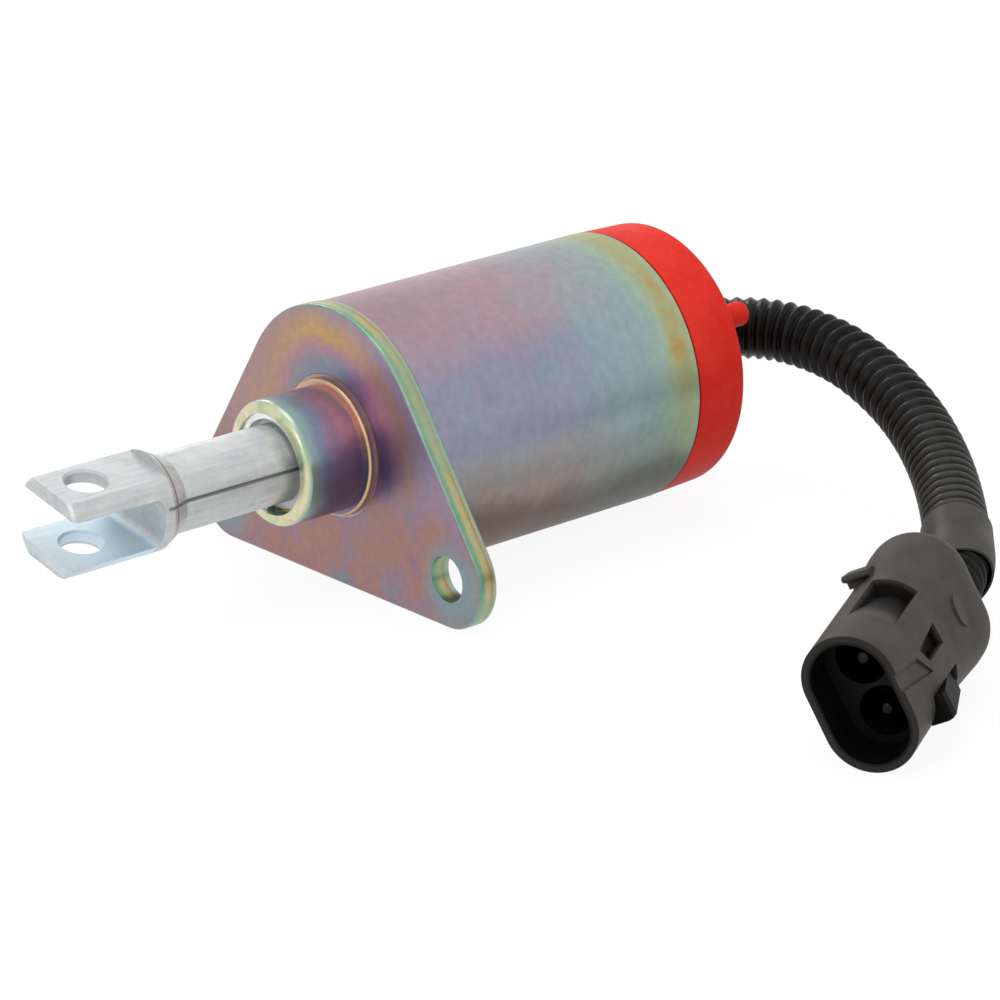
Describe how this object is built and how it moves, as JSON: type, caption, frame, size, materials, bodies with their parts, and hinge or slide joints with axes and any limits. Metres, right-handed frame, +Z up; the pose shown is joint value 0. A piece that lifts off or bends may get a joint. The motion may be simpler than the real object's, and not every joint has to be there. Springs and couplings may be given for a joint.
{
  "type": "fuel shut-off solenoid",
  "caption": "Tubular pull solenoid on a two-eared steel flange, with a forked plunger, a red rear cap and a ribbed wiring loom ending in a two-way connector.",
  "frame": {"origin": "centre of the mounting flange's front face, on the plunger's axis", "axes": "+X runs back along the barrel towards the cap and is the way the plunger pulls in, +Z is up and square to the flange's straight lower edge, the connector lies on the -Y side"},
  "size_m": [0.1454, 0.1524, 0.045],
  "materials": {
    "yellow_chromate_steel": "satin iridescent chromate",
    "zinc_steel": "bright zinc plate",
    "bare_steel": "machined",
    "spring_steel": "drawn wire",
    "brass_tube": "drawn",
    "nylon_spool": "moulded",
    "copper_wire": "enamelled",
    "tape": "cloth tape",
    "red_plastic": "satin moulded",
    "seal_rubber": "matte",
    "lead_jacket": "smooth",
    "tinned_copper": "tinned",
    "loom_plastic": "ribbed, slight sheen",
    "cuff_plastic": "smooth",
    "connector_plastic": "fine matte",
    "lock_plastic": "glossy"
  },
  "bodies": {
    "housing": {"mounting_flange": "yellow_chromate_steel", "barrel_tube": "yellow_chromate_steel", "nose_collar": "yellow_chromate_steel", "retaining_ring": "zinc_steel", "guide_tube": "brass_tube", "return_spring": "spring_steel", "pole_piece": "bare_steel", "coil_bobbin": "nylon_spool", "coil_winding": "copper_wire", "winding_tape": "tape", "back_plate": "bare_steel", "end_cap": "red_plastic", "cap_seal": "seal_rubber", "supply_lead": "lead_jacket", "return_lead": "lead_jacket", "lead_splices": "tinned_copper", "wiring_loom": "loom_plastic", "loom_cuff": "cuff_plastic", "connector_body": "connector_plastic", "side_lock": "lock_plastic", "connector_backshell": "connector_plastic", "terminal_pins": "tinned_copper", "wire_seals": "seal_rubber"},
    "carriage": {"spring_seat": "bare_steel"},
    "plunger": {"plunger": "zinc_steel"}
  },
  "joints": [
    {"name": "plunger_slide", "type": "slide", "parent": "housing", "child": "carriage", "axis": [1, 0, 0], "range_m": [0, 0.018], "stiffness_N_per_m": 350, "springref_m": -0.02, "deforming": ["return_spring"]},
    {"name": "plunger_swivel", "type": "hinge", "parent": "carriage", "child": "plunger", "pos_m": [0, 0, 0], "axis": [1, 0, 0], "continuous": true}
  ]
}
